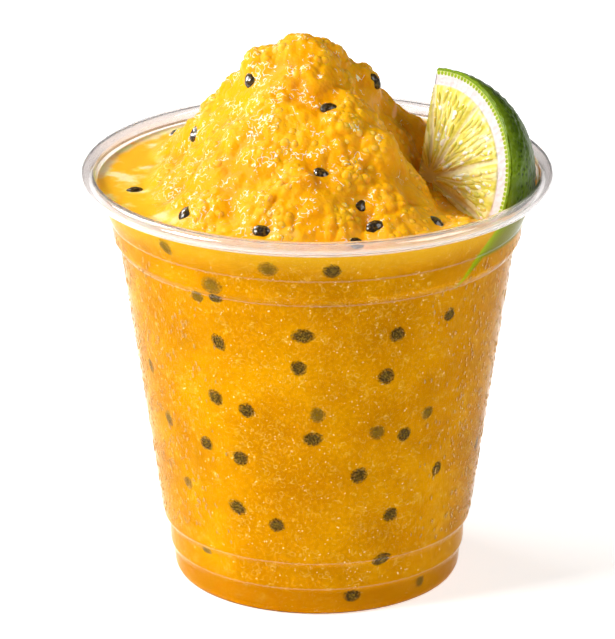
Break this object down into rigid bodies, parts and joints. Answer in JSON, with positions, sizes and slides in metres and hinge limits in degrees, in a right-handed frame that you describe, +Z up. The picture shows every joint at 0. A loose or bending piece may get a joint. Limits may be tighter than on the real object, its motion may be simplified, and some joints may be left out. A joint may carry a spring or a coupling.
{
  "type": "passion fruit margarita in a clear plastic cup",
  "caption": "Clear plastic cup heaped with golden passion fruit slush and dark seeds, with a wedge of lime pushed in beside the mound.",
  "frame": {"origin": "middle of the cup's foot ring, on the surface that the cup stands on", "axes": "+Z up the cup's axis, -Y towards the viewer of the front, with the lime at +X"},
  "size_m": [0.0978, 0.098, 0.1164],
  "materials": {
    "clear_plastic": "clear thermoformed PET, smooth and glossy, with a rolled rim",
    "passion_fruit_slush": "wet granular frozen slush, golden yellow, translucent, with dark seeds",
    "lime": "green waxy rind with fine pits, white pith and wet yellow-green pulp"
  },
  "bodies": {
    "root": {"cup": "clear_plastic", "slush": "passion_fruit_slush", "lime_wedge": "lime"}
  },
  "joints": []
}
